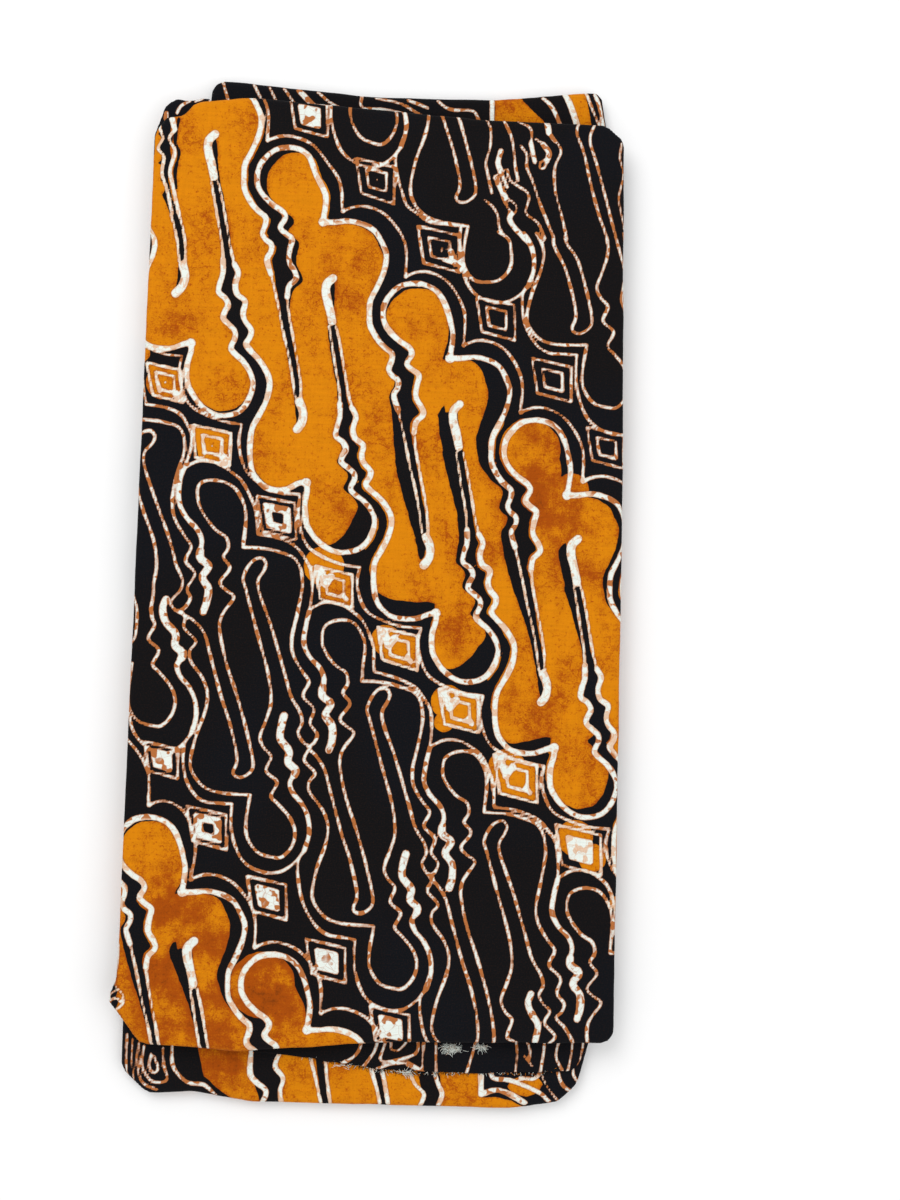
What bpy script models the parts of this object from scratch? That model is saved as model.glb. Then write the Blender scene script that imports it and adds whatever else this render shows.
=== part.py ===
"""A folded batik sarong lying on a flat surface: one long cloth, folded four times into a flat bundle.

Metres, +Z up, +Y along the bundle. The origin is the middle of the bundle's underside.
Every stretch of cloth that shows is a thin wall, and the layers between share one solid with stepped edges.
"""

import math

import bmesh
import bpy
from mathutils import Vector

MM = 0.001

# The cloth as it was cut, and what folding it makes of it.
CLOTH_WIDTH = 1050 * MM
CLOTH_LENGTH = 2160 * MM
LAYERS_ALONG = 2
LAYERS_ACROSS = 8
PANEL_LENGTH = CLOTH_WIDTH / LAYERS_ALONG
PANEL_WIDTH = CLOTH_LENGTH / LAYERS_ACROSS

# A wall stands for the cloth that shows. It turns round its fold's edge to this angle from the top.
WALL = 1.2 * MM
GAP = 0.3 * MM
EDGE_REACH = 3.2 * MM
WALL_END_ANGLE = math.radians(138)

# How far out from the middle the flat faces' inner rings and the lower fold's inner edge lie.
PANEL_SHARE = 0.6
BAND_SHARE = 0.75
NECK_SHARE = 0.74

# Heights of the groups of layers, from the surface up.
UNDER_GROUP = 4.4 * MM
LOWER_GROUP_TOP = 8.4 * MM
THIRD_FOLD_TOP = 12.0 * MM
SECOND_FOLD_TOP = 15.2 * MM
BUNDLE_TOP = 19.0 * MM
WALL_GROUP = 3.9 * MM
FOLD_REACH = 3.6 * MM
GROOVE_DEPTH = 2.2 * MM
LOWER_HALF = (LOWER_GROUP_TOP - UNDER_GROUP) / 2 + GAP

# The raw end flap lies between the lower group and the upper one, at the near end, where the upper one rises.
FLAP_WALL = 1.2 * MM
FLAP_RISE_START = -110 * MM
FLAP_RISE_END = -150 * MM

ROUND_STEPS = 5
ARC_STEPS = 4

# Lofted points lie on rays from the middle. Each corner of a table gives a few, no closer than the least turn.
RAYS_PER_CORNER = 3
LEAST_TURN = math.radians(0.9)
MOST_TURN = math.radians(8)
RAY_SLACK = 0.001

# What a row of a table means: a share of the half panel across and along, how far right of and beyond
# that place the corner lies, and the radius of its bend, the last three in millimetres.
COLUMNS = ("across", "along", "right", "away", "radius")

TOP_PANEL_TABLE = [
    (-1.0, 1.0, 0.5, 8.5, 19),
    (-0.6, 1.0, 0, 10.5, 60),
    (0.4, 1.0, 0, 3.5, 60),
    (1.0, 1.0, -11.5, 3.5, 5),
    (1.0, 1.0, -1.5, -5.5, 6),
    (1.0, 0.2, 2, 8, 300),
    (1.0, -1.0, 3, 11.5, 8),
    (0.1, -1.0, 0, 10, 90),
    (-0.5, -1.0, 0, 3.5, 40),
    (-0.9, -1.0, 0.5, 7, 8),
    (-1.0, -0.9, -4.5, 3.8, 4),
    (-1.0, -0.85, 0.7, 2.1, 6),
]
SECOND_FOLD_TABLE = [
    (-1.0, 1.0, 2.5, 6, 9),
    (0.4, 1.0, 6, 1.5, 60),
    (1.0, 1.0, -2, -1.5, 10),
    (1.0, -1.0, 0.5, 14.5, 9),
    (-0.4, -1.0, -6, 10, 60),
    (-1.0, -1.0, 4, 15.5, 10),
]
THIRD_FOLD_TABLE = [
    (-1.0, 1.0, 3.5, 9.5, 6),
    (-0.8, 1.0, 0, 5.5, 20),
    (1.0, 1.0, -3, -3.5, 9),
    (1.0, -1.0, -1, 16.5, 10),
    (-1.0, -1.0, 6, 18.5, 12),
]
LOWER_FOLD_TABLE = [
    (-1.0, 0.75, 3.5, -1, 30),
    (-0.75, 1.0, -2.7, 5.5, 10),
    (-0.75, 1.0, -1.2, 24, 5),
    (-0.1, 1.0, 3.5, 18, 90),
    (0.45, 1.0, 0, 19.5, 60),
    (0.9, 1.0, -0.5, 27.2, 6),
    (0.95, 1.0, -2.2, -0.5, 12),
    (0.95, -1.0, -1.7, 12.5, 15),
    (0.9, -1.0, -2, -13.5, 12),
    (0.8, -1.0, 1, -23, 8),
    (0.6, -1.0, 3, -26.7, 20),
    (-0.45, -1.0, 0.8, -25.5, 60),
    (-0.7, -1.0, 2.5, -20.5, 14),
    (-0.85, -1.0, -2.2, -22, 10),
    (-0.95, -1.0, -3.2, -8.5, 9),
]
UNDER_PANEL_TABLE = [
    (-0.95, 0.7, -1.7, 6.2, 30),
    (-0.75, 1.0, -0.7, -0.5, 12),
    (-0.75, 1.0, 1.2, 20.5, 6),
    (0.1, 1.0, -3.5, 16, 90),
    (0.9, 1.0, -2.5, 22.5, 8),
    (0.9, 1.0, 2.5, -4.5, 12),
    (0.9, -1.0, 3, 10.5, 18),
    (0.8, -1.0, -2, -20.5, 14),
    (0.6, -1.0, 3, -24, 20),
    (-0.45, -1.0, -1.2, -23, 60),
    (-0.85, -1.0, 0.8, -18.5, 12),
    (-0.95, -1.0, -0.7, -5.5, 12),
]
RAW_END_TABLE = [
    (0.9, -0.85, 2.5, 1, 3),
    (0.9, -1.0, 2.5, 5.5, 3),
    (0.85, -1.0, 2.7, -5.5, 5),
    (0.45, -1.0, -0.8, -7.5, 60),
    (0.1, -1.0, -1.5, -6.5, 50),
    (-0.25, -1.0, -2.2, 0, 40),
    (-0.45, -1.0, -1.2, 2, 3),
    (-0.45, -0.85, 2.8, 1, 3),
]


def clear_scene():
    for existing in list(bpy.data.objects):
        bpy.data.objects.remove(existing)


def cloth_material(name, colour):
    """Dyed cotton of the given colour."""
    material = bpy.data.materials.new(name)
    material.use_nodes = True
    shader = material.node_tree.nodes["Principled BSDF"]
    shader.inputs["Base Color"].default_value = (*colour, 1)
    shader.inputs["Roughness"].default_value = 0.85
    shader.inputs["Metallic"].default_value = 0
    return material


def bend_points(before, corner, after, radius, steps):
    """Points of the arc that rounds one corner of an outline."""
    back = (before - corner).normalized()
    ahead = (after - corner).normalized()
    half_angle = back.angle(ahead) / 2
    cut = radius / math.tan(half_angle)
    cut = min(cut, 0.45 * (before - corner).length, 0.45 * (after - corner).length)
    real_radius = cut * math.tan(half_angle)
    centre = corner + (back + ahead).normalized() * (real_radius / math.sin(half_angle))
    start = corner + back * cut - centre
    sweep = math.pi - 2 * half_angle
    turn = -1 if start.y * back.x - start.x * back.y < 0 else 1
    points = []
    for step in range(steps + 1):
        angle = turn * sweep * step / steps
        points.append(centre + Vector((
            start.x * math.cos(angle) - start.y * math.sin(angle),
            start.x * math.sin(angle) + start.y * math.cos(angle),
        )))
    return points


def rounded_outline(table, steps=ARC_STEPS):
    """The closed outline through a table's corners, with each corner bent to its radius."""
    rows = [dict(zip(COLUMNS, row)) for row in table]
    places = [
        Vector((
            row["across"] * PANEL_WIDTH / 2 + row["right"] * MM,
            row["along"] * PANEL_LENGTH / 2 + row["away"] * MM,
        ))
        for row in rows
    ]
    points = []
    for index, row in enumerate(rows):
        before = places[index - 1]
        after = places[(index + 1) % len(places)]
        points += bend_points(before, places[index], after, row["radius"] * MM, steps)
    return points


def ray_directions(tables):
    """Unit directions from the middle to the tables' corners, clockwise, with more between far ones."""
    corners = [point for table in tables for point in rounded_outline(table, RAYS_PER_CORNER - 1)]
    angles = sorted((math.atan2(point.y, point.x) for point in corners), reverse=True)
    kept = [angles[0]]
    for angle in angles[1:]:
        if kept[-1] - angle > LEAST_TURN:
            kept.append(angle)
    full = []
    for index, angle in enumerate(kept):
        following = kept[index + 1] if index + 1 < len(kept) else kept[0] - 2 * math.pi
        parts = math.ceil((angle - following) / MOST_TURN)
        full += [angle + (following - angle) * part / parts for part in range(parts)]
    return [Vector((math.cos(angle), math.sin(angle))) for angle in full]


def ray_hit(outline, direction):
    """Where the ray from the middle along direction crosses a closed outline."""
    furthest = 0
    for index, start in enumerate(outline):
        edge = outline[(index + 1) % len(outline)] - start
        across = direction.x * edge.y - direction.y * edge.x
        if across == 0:
            continue
        distance = (start.x * edge.y - start.y * edge.x) / across
        share = (start.x * direction.y - start.y * direction.x) / across
        if -RAY_SLACK <= share <= 1 + RAY_SLACK:
            furthest = max(furthest, distance)
    return direction * furthest


def plan_ring(table, directions):
    """The outline's points on the rays, so that every ring has the same count."""
    outline = rounded_outline(table)
    return [ray_hit(outline, direction) for direction in directions]


def ring_normals(ring):
    """Outward unit normals of a clockwise ring seen from above."""
    normals = []
    for index in range(len(ring)):
        along = ring[(index + 1) % len(ring)] - ring[index - 1]
        normals.append(Vector((-along.y, along.x)).normalized())
    return normals


def inset_ring(ring, distance, height):
    """A ring moved in by a distance. The height is a number, or a function of the point."""
    points = []
    for place, normal in zip(ring, ring_normals(ring)):
        moved = place - normal * distance
        level = height(moved) if callable(height) else height
        points.append((moved.x, moved.y, level))
    return points


def shrunk_ring(ring, inset, share, height):
    """A ring first moved in by inset, then drawn towards the middle."""
    moved = [place - normal * inset for place, normal in zip(ring, ring_normals(ring))]
    return inset_ring([place * share for place in moved], 0, height)


def round_edge(ring, level, offset, start, end):
    """Rings round a fold's edge, between two angles from its top. The edge is level wide and offset deep."""
    middle, half_height = level
    rings = []
    for step in range(ROUND_STEPS + 1):
        angle = start + (end - start) * step / ROUND_STEPS
        inset = offset + (EDGE_REACH - offset) * (1 - math.sin(angle))
        height = middle + (half_height - offset) * math.cos(angle)
        rings.append(inset_ring(ring, inset, height))
    return rings


def loft(name, rings, material, caps):
    """A solid through rings of equal count from the outer top down. It has two caps, or closes on itself."""
    shape = bmesh.new()
    rows = [[shape.verts.new(point) for point in ring] for ring in rings]
    count = len(rows[0])
    pairs = list(zip(rows, rows[1:]))
    if not caps:
        pairs.append((rows[-1], rows[0]))
    for upper, lower in pairs:
        for index in range(count):
            following = (index + 1) % count
            shape.faces.new((upper[index], upper[following], lower[following], lower[index]))
    if caps:
        shape.faces.new(list(reversed(rows[0])))
        shape.faces.new(rows[-1])
    mesh = bpy.data.meshes.new(name)
    shape.to_mesh(mesh)
    shape.free()
    mesh.materials.append(material)
    return bpy.data.objects.new(name, mesh)


def top_panel(directions, material):
    """The stretch that lies on top, turned down round all four edges."""
    ring = plan_ring(TOP_PANEL_TABLE, directions)
    level = (BUNDLE_TOP - WALL_GROUP / 2, WALL_GROUP / 2)
    outer = [shrunk_ring(ring, EDGE_REACH, PANEL_SHARE, BUNDLE_TOP)]
    outer += round_edge(ring, level, 0, 0, WALL_END_ANGLE)
    inner = [shrunk_ring(ring, EDGE_REACH, PANEL_SHARE, BUNDLE_TOP - WALL)]
    inner += round_edge(ring, level, WALL, 0, WALL_END_ANGLE)
    return loft("top_panel", outer + inner[::-1], material, True)


def under_panel(directions, material):
    """The stretch that the bundle lies on, turned up round its edges."""
    ring = plan_ring(UNDER_PANEL_TABLE, directions)
    level = (UNDER_GROUP / 2, UNDER_GROUP / 2)
    start = math.pi - WALL_END_ANGLE
    outer = round_edge(ring, level, 0, start, math.pi)
    outer.append(shrunk_ring(ring, EDGE_REACH, PANEL_SHARE, 0))
    inner = round_edge(ring, level, WALL, start, math.pi)
    inner.append(shrunk_ring(ring, EDGE_REACH, PANEL_SHARE, WALL))
    return loft("under_panel", inner[::-1] + outer, material, True)


def lower_fold(directions, material):
    """The stretch that shows past both ends of the top panel, as a band round the lower group."""
    ring = plan_ring(LOWER_FOLD_TABLE, directions)
    level = (LOWER_GROUP_TOP - LOWER_HALF, LOWER_HALF)
    outer = [shrunk_ring(ring, EDGE_REACH, BAND_SHARE, LOWER_GROUP_TOP)]
    outer += round_edge(ring, level, 0, 0, WALL_END_ANGLE)
    inner = [shrunk_ring(ring, EDGE_REACH, BAND_SHARE, LOWER_GROUP_TOP - WALL)]
    inner += round_edge(ring, level, WALL, 0, WALL_END_ANGLE)
    return loft("lower_fold", outer + inner[::-1], material, False)


def raw_end_flap(material):
    """The cloth's cut end, which looks out from under the top panel."""
    outline = rounded_outline(RAW_END_TABLE)
    curve = bpy.data.curves.new("raw_end_flap", "CURVE")
    curve.dimensions = "2D"
    curve.fill_mode = "BOTH"
    curve.extrude = FLAP_WALL / 2
    spline = curve.splines.new("POLY")
    spline.points.add(len(outline) - 1)
    for point, place in zip(spline.points, outline):
        point.co = (place.x, place.y, 0, 1)
    spline.use_cyclic_u = True
    curve.materials.append(material)
    flap = bpy.data.objects.new("raw_end_flap", curve)
    flap.location.z = LOWER_GROUP_TOP + GAP + FLAP_WALL / 2
    return flap


def upper_underside(place):
    """Height of the upper group's underside, which rises over the flap at the near end."""
    share = (place.y - FLAP_RISE_START) / (FLAP_RISE_END - FLAP_RISE_START)
    rise = min(1, max(0, share)) * (FLAP_WALL + GAP)
    return LOWER_GROUP_TOP + GAP + rise


def fold_edge(ring, bottom, top):
    """Rings round the edge of a group without a wall, from its underside to its top."""
    rings = []
    for step in range(ROUND_STEPS + 1):
        angle = math.pi * step / ROUND_STEPS
        rise = (1 - math.cos(angle)) / 2

        def level(place, rise=rise):
            low = bottom(place) if callable(bottom) else bottom
            return low + (top - low) * rise

        rings.append(inset_ring(ring, FOLD_REACH * (1 - math.sin(angle)), level))
    return rings


def hidden_layers(directions, material):
    """All layers that don't show, as one solid. Its edge has a step for each group of layers."""
    under = plan_ring(UNDER_PANEL_TABLE, directions)
    lower = plan_ring(LOWER_FOLD_TABLE, directions)
    third = plan_ring(THIRD_FOLD_TABLE, directions)
    second = plan_ring(SECOND_FOLD_TABLE, directions)
    top = plan_ring(TOP_PANEL_TABLE, directions)
    clear = WALL + GAP
    groove = EDGE_REACH + GROOVE_DEPTH
    rings = [shrunk_ring(under, EDGE_REACH, PANEL_SHARE, clear)]
    rings += round_edge(under, (UNDER_GROUP / 2, UNDER_GROUP / 2), clear, math.pi, 0)
    rings.append(inset_ring(under, groove, UNDER_GROUP - clear / 2))
    rings += round_edge(lower, (LOWER_GROUP_TOP - LOWER_HALF, LOWER_HALF), clear, math.pi, 0)
    rings.append(shrunk_ring(lower, EDGE_REACH, NECK_SHARE, LOWER_GROUP_TOP - clear))
    rings.append(shrunk_ring(lower, EDGE_REACH, NECK_SHARE, upper_underside))
    rings += fold_edge(third, upper_underside, THIRD_FOLD_TOP)
    rings.append(inset_ring(second, groove, THIRD_FOLD_TOP + GAP))
    rings += fold_edge(second, THIRD_FOLD_TOP + 2 * GAP, SECOND_FOLD_TOP)
    rings.append(inset_ring(top, groove + clear, SECOND_FOLD_TOP + GAP))
    rings += round_edge(top, (BUNDLE_TOP - WALL_GROUP / 2, WALL_GROUP / 2), clear, math.pi, 0)
    rings.append(shrunk_ring(top, EDGE_REACH, PANEL_SHARE, BUNDLE_TOP - clear))
    return loft("hidden_layers", rings[::-1], material, True)


def main():
    clear_scene()
    bundle = bpy.data.collections.new("folded_sarong")
    bpy.context.scene.collection.children.link(bundle)
    dark = cloth_material("black_cloth", (0.013, 0.012, 0.014))
    amber = cloth_material("amber_cloth", (0.72, 0.27, 0.02))
    directions = ray_directions([TOP_PANEL_TABLE, LOWER_FOLD_TABLE])
    pieces = [
        top_panel(directions, amber),
        hidden_layers(directions, dark),
        raw_end_flap(dark),
        lower_fold(directions, amber),
        under_panel(directions, dark),
    ]
    for piece in pieces:
        bundle.objects.link(piece)


main()
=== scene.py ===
import math

import bpy
import numpy as np
from mathutils import Matrix, Vector


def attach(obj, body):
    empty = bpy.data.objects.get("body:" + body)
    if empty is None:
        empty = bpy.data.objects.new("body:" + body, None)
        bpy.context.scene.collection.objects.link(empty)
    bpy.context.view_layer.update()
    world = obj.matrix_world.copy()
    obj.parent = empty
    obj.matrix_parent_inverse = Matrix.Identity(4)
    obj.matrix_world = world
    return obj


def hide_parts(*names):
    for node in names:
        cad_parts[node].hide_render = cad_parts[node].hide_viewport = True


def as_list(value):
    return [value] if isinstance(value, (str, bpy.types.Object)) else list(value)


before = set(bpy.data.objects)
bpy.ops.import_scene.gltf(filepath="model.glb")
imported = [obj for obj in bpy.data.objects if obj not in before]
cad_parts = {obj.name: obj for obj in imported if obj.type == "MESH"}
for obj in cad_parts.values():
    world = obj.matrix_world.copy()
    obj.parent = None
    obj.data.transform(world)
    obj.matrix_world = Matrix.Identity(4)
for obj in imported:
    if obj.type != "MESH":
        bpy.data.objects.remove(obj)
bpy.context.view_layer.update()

mm = 0.001

# The camera stands where the photograph was taken: nearly overhead, a little towards the near end.
cameraSettings = {
    "place": (-2.6 * mm, -79.0 * mm, 944.0 * mm),
    "aim": (41.15 * mm, -9.4 * mm, 19.0 * mm),
    "up": (-0.028, 0.9996, 0.0),
    "lens": 50.0,
    "sensor": 36.0,
    "photoWide": 900,
    "photoTall": 1200,
}


def cameraAxes():
    place = np.array(cameraSettings["place"])
    forward = np.array(cameraSettings["aim"]) - place
    forward /= np.linalg.norm(forward)
    right = np.cross(forward, cameraSettings["up"])
    right /= np.linalg.norm(right)
    return place, right, np.cross(right, forward), forward


def chartToCloth(points, height):
    # A chart point is a pixel of the photograph: the ray through it meets the cloth at this height.
    place, right, up, forward = cameraAxes()
    focal = cameraSettings["lens"] / cameraSettings["sensor"] * cameraSettings["photoTall"]
    points = np.asarray(points, float)
    across = (points[:, 0] - cameraSettings["photoWide"] / 2) / focal
    down = (points[:, 1] - cameraSettings["photoTall"] / 2) / focal
    rays = forward + across[:, None] * right - down[:, None] * up
    reach = (height - place[2]) / rays[:, 2]
    return (place + rays * reach[:, None])[:, :2]


# The pattern is one charted repeat for each kind of band. Chart points are pixels of the photograph,
# and each repeat is drawn from corner to corner, so it stretches a little to meet the next one.
pixelSize = 0.557 * mm
topLevel = 19.0 * mm

darkHead = {
    "from": (363, 683),
    "to": (243, 547),
    "width": 3.5,
    "line": [
        (363, 683), (366, 651), (361, 632), (352, 622), (338, 620), (325, 626), (322, 640), (325, 651),
        (335, 665), (346, 673), (348, 684), (343, 693), (350, 704), (340, 718), (346, 726), (354, 733),
        (346, 745), (341, 754), (340, 768), (346, 798), (357, 832), (368, 873), (373, 902), (365, 912),
        (357, 913), (353, 908), (357, 894), (350, 860), (341, 832), (330, 790), (325, 771), (317, 757),
        (309, 748), (314, 743), (317, 734), (310, 723), (314, 709), (303, 696), (309, 682), (302, 671),
        (293, 654), (292, 637), (297, 615), (302, 590), (302, 578), (300, 567), (294, 558), (283, 553),
        (268, 549), (243, 547),
    ],
}
darkFoot = {
    "from": (250, 795),
    "to": (374, 926),
    "width": 3.5,
    "line": [
        (250, 795), (246, 820), (247, 837), (257, 852), (271, 857), (282, 857), (292, 846), (295, 832),
        (290, 818), (278, 804), (271, 796), (277, 782), (266, 771), (271, 757), (264, 748), (260, 737),
        (266, 720), (271, 701), (268, 673), (257, 632), (246, 590), (243, 579), (247, 568), (254, 560),
        (262, 558), (266, 564), (263, 572), (258, 581), (260, 595), (271, 626), (284, 671), (291, 696),
        (300, 712), (302, 723), (298, 732), (302, 741), (309, 748), (304, 760), (315, 773), (309, 782),
        (310, 793), (322, 809), (328, 826), (325, 846), (317, 868), (312, 894), (317, 908), (328, 919),
        (345, 924), (374, 926),
    ],
}
# Outer lines of the dark bands: from a junction over a head to a corner, and from there to the next
# junction.
darkArches = {
    "width": 3.4,
    "over": [
        [
            (187, 471), (199, 465), (208, 464), (220, 466), (232, 473), (242, 481), (250, 495),
            (256, 512), (258, 534),
        ],
        [(258, 534), (278, 538), (295, 546), (304, 557), (311, 571), (312, 590), (310, 609)],
    ],
    "under": [
        [
            (191, 734), (185, 742), (183, 754), (184, 771), (188, 784), (196, 796), (206, 802),
            (218, 803), (232, 804),
        ],
        [
            (232, 804), (231, 818), (232, 834), (236, 848), (243, 861), (254, 869), (268, 873),
            (282, 871), (295, 862), (304, 851),
        ],
    ],
}
# Thick lines with a free end, from a junction.
darkTongue = {
    "widths": (5.2, 7.8),
    "over": [
        (310, 609), (306, 626), (304, 643), (310, 657), (320, 668), (324, 679), (322, 695), (331, 704),
        (325, 715), (332, 726), (332, 740), (329, 750),
    ],
    "under": [
        (304, 851), (309, 834), (308, 818), (302, 804), (293, 793), (290, 782), (296, 771), (288, 762),
        (289, 751), (280, 738), (282, 723), (284, 716),
    ],
}
amberHead = {
    "from": (449, 359),
    "to": (323, 222),
    "parts": [
        (5.7, [
            (449, 359), (452, 337), (450, 324), (446, 309), (441, 298), (434, 290), (423, 285),
            (411, 284), (399, 287), (388, 297), (383, 308), (383, 321), (389, 332), (398, 341),
            (408, 348), (411, 355), (406, 364), (411, 370), (418, 376), (416, 386), (415, 398),
            (421, 409), (422, 416), (415, 423), (413, 434),
        ]),
        (2.9, [(413, 434), (415, 452), (419, 474), (423, 495), (426, 515), (427, 534)]),
        (8.6, [(425, 538), (429, 549), (428, 559), (423, 566)]),
        (2.9, [(421, 534), (418, 511), (414, 489), (409, 468), (405, 447), (401, 428), (397, 411)]),
        (5.7, [
            (397, 411), (394, 402), (393, 395), (397, 388), (397, 381), (391, 376), (388, 370),
            (391, 361), (391, 354), (384, 348), (377, 340), (370, 327), (369, 314), (370, 301),
            (376, 289), (383, 273), (386, 260), (385, 250), (377, 234), (369, 227), (359, 223),
            (348, 221), (335, 222), (323, 222),
        ]),
    ],
    "slit": [
        (402, 402), (405, 425), (410, 448), (414, 472), (418, 496), (422, 518), (425, 536), (429, 549),
    ],
}
amberFoot = {
    "from": (436, 613),
    "to": (554, 748),
    "parts": [
        (5.7, [
            (436, 613), (436, 621), (432, 634), (432, 650), (436, 660), (444, 671), (455, 679),
            (466, 682), (479, 680), (488, 674), (495, 663), (498, 650), (495, 639), (488, 629),
            (480, 622), (476, 616), (480, 607), (480, 600), (474, 594), (468, 588), (470, 581),
            (473, 575), (470, 568), (463, 562), (464, 553), (467, 543), (467, 530),
        ]),
        (2.9, [(467, 530), (466, 514), (462, 490), (459, 470), (456, 452)]),
        (8.6, [(459, 447), (456, 432), (453, 419), (454, 410), (460, 404)]),
        (2.9, [(463, 452), (467, 470), (471, 494), (475, 518), (479, 534)]),
        (5.7, [
            (479, 534), (483, 543), (480, 554), (482, 564), (490, 571), (488, 582), (490, 590),
            (496, 598), (495, 605), (491, 612), (496, 619), (503, 626), (509, 634), (514, 645),
            (514, 656), (510, 669), (503, 682), (497, 693), (495, 706), (495, 720), (497, 733),
            (502, 742), (511, 750), (522, 753), (535, 753), (547, 749), (554, 748),
        ]),
    ],
    "slit": [
        (455, 414), (457, 432), (460, 452), (463, 472), (467, 494), (470, 516), (473, 536), (472, 552),
    ],
}
# The black slit between a blade's two thin lines, and the wax dot at each corner of the blades.
amberWidths = {"slit": 5.4, "dot": 9.5}
# Outer lines of the amber bands, from corner to corner.
amberArches = {
    "width": 3.3,
    "dot": 5.5,
    "over": [
        (268, 140), (281, 136), (296, 137), (314, 145), (329, 160), (339, 177), (342, 193), (342, 204),
        (343, 211),
    ],
    "under": [(242, 424), (239, 440), (242, 460), (250, 476), (268, 488), (285, 495), (302, 498)],
}
bands = [
    {
        "kind": "dark",
        "tops": [(350, -165), (466, -28), (582, 103), (702, 235), (820, 363)],
        "bottoms": [(232, -76), (356, 74), (468, 226), (587, 345), (706, 477)],
        "archOver": [],
        "archUnder": [
            (282, 17), (332, 88), (401, 147), (461, 226), (529, 285), (577, 355), (648, 415), (700, 490),
        ],
    },
    {
        "kind": "amber",
        "tops": [(76, -50), (199, 86), (323, 222), (450, 358), (567, 495), (687, 632), (808, 768)],
        "bottoms": [(70, 207), (191, 343), (309, 487), (436, 613), (554, 748), (674, 884), (794, 1020)],
        "archOver": [
            (205, 72), (268, 140), (343, 211), (406, 276), (464, 345), (521, 412), (583, 481), (650, 548),
        ],
        "archUnder": [
            (122, 288), (182, 356), (242, 424), (302, 498), (360, 567), (421, 628), (483, 696),
            (544, 766), (609, 829), (668, 890),
        ],
    },
    {
        "kind": "dark",
        "tops": [(8, 283), (125, 415), (243, 547), (363, 683), (484, 812), (610, 953), (728, 1085)],
        "bottoms": [(14, 529), (132, 663), (250, 795), (374, 926), (491, 1058), (609, 1190)],
        "archOver": [
            (70, 335), (143, 402), (187, 471), (258, 534), (310, 609), (376, 675), (430, 747), (494, 807),
            (558, 878), (616, 934), (676, 1010),
        ],
        "archUnder": [
            (76, 600), (128, 668), (191, 734), (232, 804), (304, 851), (355, 940), (426, 989),
            (478, 1070),
        ],
    },
    {
        "kind": "amber",
        "tops": [(-66, 619), (58, 755), (182, 892), (307, 1030), (431, 1167), (555, 1304)],
        "bottoms": [(-78, 876), (46, 1013), (170, 1150), (294, 1287), (418, 1424)],
        "archOver": [
            (84, 735), (149, 805), (191, 879), (255, 947), (321, 1013), (388, 1080), (452, 1150),
        ],
        "archUnder": [],
    },
]

diamondShape = {
    "corners": [(-21, -22), (18, -13), (18.5, 22), (-15.5, 13)],
    "width": 3.1,
    "amberKinds": ("amberRing", "blotted"),
    "amberShare": 0.92,
}
# Rings are a share of the diamond's size and a width. Strokes are a width and points from its middle.
diamondFillings = {
    "ring": {"rings": [(0.52, 3.1)], "strokes": []},
    "dotted": {"rings": [(0.52, 3.1)], "strokes": [(3.0, [(0, 0), (0, 0)])]},
    "filled": {"rings": [(0.5, 5.0), (0.35, 5.0), (0.2, 5.0), (0.06, 5.0)], "strokes": []},
    "eyed": {"rings": [(0.62, 4.6), (0.5, 4.6), (0.42, 4.6)], "strokes": []},
    "blotted": {
        "rings": [(0.52, 3.1)],
        "strokes": [(7.5, [(-15, -17), (-10, -3), (-4, -11)]), (5.0, [(8, 8), (12, 13)])],
    },
    "amberRing": {
        "rings": [(0.52, 3.1)],
        "strokes": [(2.6, [(0, 0), (0, 0)]), (7.0, [(11, 12), (15, 17)]), (4.0, [(-9, -1), (-7, 9)])],
    },
    "cornered": {
        "rings": [(0.52, 3.1)],
        "strokes": [
            (6.5, [(10, 2), (15, 14)]), (5.0, [(4, 10), (15, 14)]), (2.6, [(8, 0), (1, -1), (1, 3)]),
        ],
    },
}
# Place, filling, and size beside the usual one.
diamonds = [
    (310, 116, "filled", 0.95), (377, 180, "dotted", 1.0), (440, 249, "cornered", 1.05),
    (497, 319, "ring", 0.97), (553, 380, "ring", 1.0), (607, 448, "ring", 0.95),
    (165, 382, "amberRing", 0.9), (213, 446, "amberRing", 1.0), (278, 518, "eyed", 1.0),
    (335, 587, "blotted", 0.95), (399, 649, "blotted", 1.0), (460, 711, "blotted", 1.0),
    (517, 779, "blotted", 1.1), (580, 850, "filled", 1.15), (162, 760, "filled", 0.85),
    (208, 828, "eyed", 1.0), (268, 898, "filled", 1.0), (327, 961, "filled", 1.0),
    (391, 1028, "filled", 1.0), (452, 1092, "ring", 1.0), (100, 700, "ring", 1.0),
    (642, 910, "ring", 1.0), (663, 512, "ring", 1.0), (250, 46, "ring", 1.0),
]
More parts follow.
